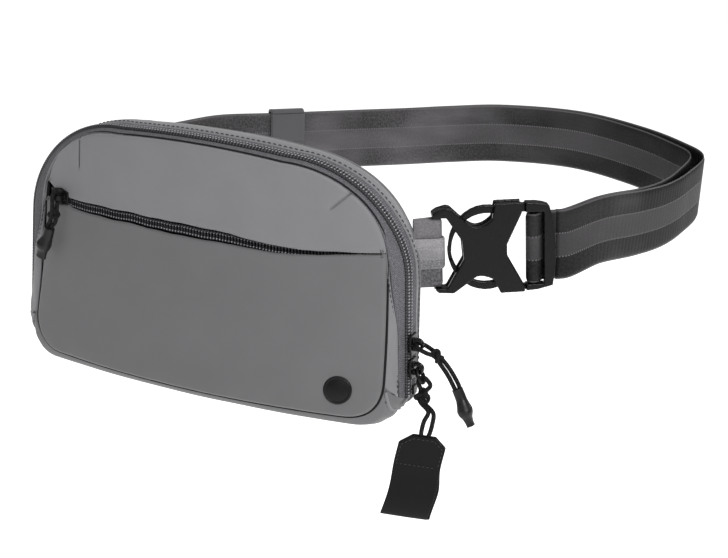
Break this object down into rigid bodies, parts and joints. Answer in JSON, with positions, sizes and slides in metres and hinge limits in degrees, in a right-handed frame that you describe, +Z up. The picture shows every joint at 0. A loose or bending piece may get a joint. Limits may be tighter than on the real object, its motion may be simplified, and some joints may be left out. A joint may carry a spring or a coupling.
{
  "type": "waist bag",
  "caption": "Grey zipped waist bag in smooth coated fabric, with a flat front pocket, side-release buckle, cord zip pulls and an adjustable webbing belt.",
  "frame": {"origin": "middle of the back panel's outer face, which rests against the wearer", "axes": "+X to the right seen from the front, +Y towards the wearer, +Z up"},
  "size_m": [0.3307, 0.3492, 0.1982],
  "materials": {
    "fabric": "smooth coated woven",
    "fabric_dark": "smooth coated woven",
    "lining": "plain woven",
    "foam": "mesh over foam",
    "zip_tape": "fine woven",
    "zip_coil": "satin",
    "webbing": "satin woven",
    "buckle_plastic": "fine matte",
    "badge_rubber": "satin",
    "slider_metal": "satin black",
    "cord": "braided",
    "tube_rubber": "satin",
    "tab_plastic": "matte moulded"
  },
  "bodies": {
    "back": {"back_panel": "fabric", "back_pad": "foam", "inner_pocket": "lining", "rear_gusset_right": "fabric", "rear_gusset_left": "fabric", "rear_gusset_top": "fabric", "rear_base_strip": "fabric_dark", "zip_tape_rear": "zip_tape", "zip_coil_rear": "zip_coil", "zip_end_stop": "slider_metal", "buckle_socket": "buckle_plastic", "side_tab": "webbing", "side_tab_keeper": "webbing", "belt_front": "webbing", "belt_right": "webbing", "belt_rear": "webbing", "belt_keeper_run": "webbing", "belt_left": "webbing", "tail_front": "webbing", "tail_right": "webbing", "tail_rear": "webbing", "tail_end": "webbing"},
    "front_cover": {"yoke": "fabric", "pocket_panel": "fabric_dark", "pocket_backing": "lining", "pocket_tape_upper": "zip_tape", "pocket_tape_lower": "zip_tape", "pocket_coil_upper": "zip_coil", "pocket_coil_lower": "zip_coil", "cover_gusset_right": "fabric", "cover_gusset_left": "fabric", "cover_gusset_top": "fabric", "cover_base": "fabric_dark", "cover_base_corner_left": "fabric_dark", "cover_base_corner_right": "fabric_dark", "zip_tape_cover": "zip_tape", "zip_coil_cover": "zip_coil", "badge": "badge_rubber"},
    "lower_slider": {"lower_slider": "slider_metal"},
    "lower_pull": {"lower_ring": "slider_metal", "lower_loop": "cord", "lower_knot": "cord"},
    "lower_tab": {"lower_cord": "cord", "pull_tab": "tab_plastic"},
    "upper_slider": {"upper_slider": "slider_metal"},
    "upper_pull": {"upper_loop": "cord", "upper_knot": "cord", "upper_strands": "cord", "upper_tube": "tube_rubber"},
    "pocket_slider": {"pocket_slider": "slider_metal"},
    "pocket_pull": {"pocket_loop": "cord", "pocket_knot": "cord", "pocket_strands": "cord", "pocket_tube": "tube_rubber"},
    "buckle_plug": {"buckle_plug": "buckle_plastic", "belt_roll": "webbing"},
    "arm_upper": {"buckle_arm_upper": "buckle_plastic"},
    "arm_lower": {"buckle_arm_lower": "buckle_plastic"},
    "keeper": {"keeper": "webbing"}
  },
  "joints": [
    {"name": "cover_hinge", "type": "hinge", "parent": "back", "child": "front_cover", "pos_m": [0, -0.004, -0.0687], "axis": [1, 0, 0], "range_deg": [0, 75]},
    {"name": "lower_slider_run", "type": "slide", "parent": "back", "child": "lower_slider", "axis": [-0.0451, -0.0892, 0.995], "range_m": [0, 0.02]},
    {"name": "upper_slider_run", "type": "slide", "parent": "lower_slider", "child": "upper_slider", "axis": [-0.0451, -0.0892, 0.995], "range_m": [0, 0.018]},
    {"name": "lower_pull_swing", "type": "hinge", "parent": "lower_slider", "child": "lower_pull", "pos_m": [0.11715, -0.00607, -0.04073], "axis": [0.004, -0.996, -0.0892], "range_deg": [0, 15]},
    {"name": "tab_swing", "type": "hinge", "parent": "lower_pull", "child": "lower_tab", "pos_m": [0.1241, -0.00481, -0.05453], "axis": [1, 0, 0], "range_deg": [-40, 40]},
    {"name": "upper_pull_swing", "type": "hinge", "parent": "upper_slider", "child": "upper_pull", "pos_m": [0.11653, -0.00728, -0.02723], "axis": [0.004, -0.996, -0.0892], "range_deg": [0, 50]},
    {"name": "pocket_slider_run", "type": "hinge", "parent": "front_cover", "child": "pocket_slider", "pos_m": [0, 0.3207, 0.023], "axis": [0, 0, 1], "range_deg": [0, 27.5]},
    {"name": "pocket_pull_swing", "type": "hinge", "parent": "pocket_slider", "child": "pocket_pull", "pos_m": [-0.08999, -0.03376, 0.023], "axis": [-0.9691, 0.2465, 0], "range_deg": [0, 22]},
    {"name": "buckle_release", "type": "slide", "parent": "back", "child": "buckle_plug", "axis": [0.8781, 0.4668, 0.1048], "range_m": [0, 0.045], "deforming": ["belt_front", "tail_front"]},
    {"name": "arm_upper_press", "type": "hinge", "parent": "buckle_plug", "child": "arm_upper", "pos_m": [0.14055, 0.02945, 0.04241], "axis": [0.4694, -0.883, -0.0001], "range_deg": [0, 4], "stiffness_Nm_per_rad": 2},
    {"name": "arm_lower_press", "type": "hinge", "parent": "buckle_plug", "child": "arm_lower", "pos_m": [0.14427, 0.03144, 0.00243], "axis": [-0.4694, 0.883, 0.0001], "range_deg": [0, 4], "stiffness_Nm_per_rad": 2},
    {"name": "keeper_run", "type": "slide", "parent": "back", "child": "keeper", "axis": [-0.7274, -0.6848, -0.0426], "range_m": [-0.01, 0.01]}
  ]
}
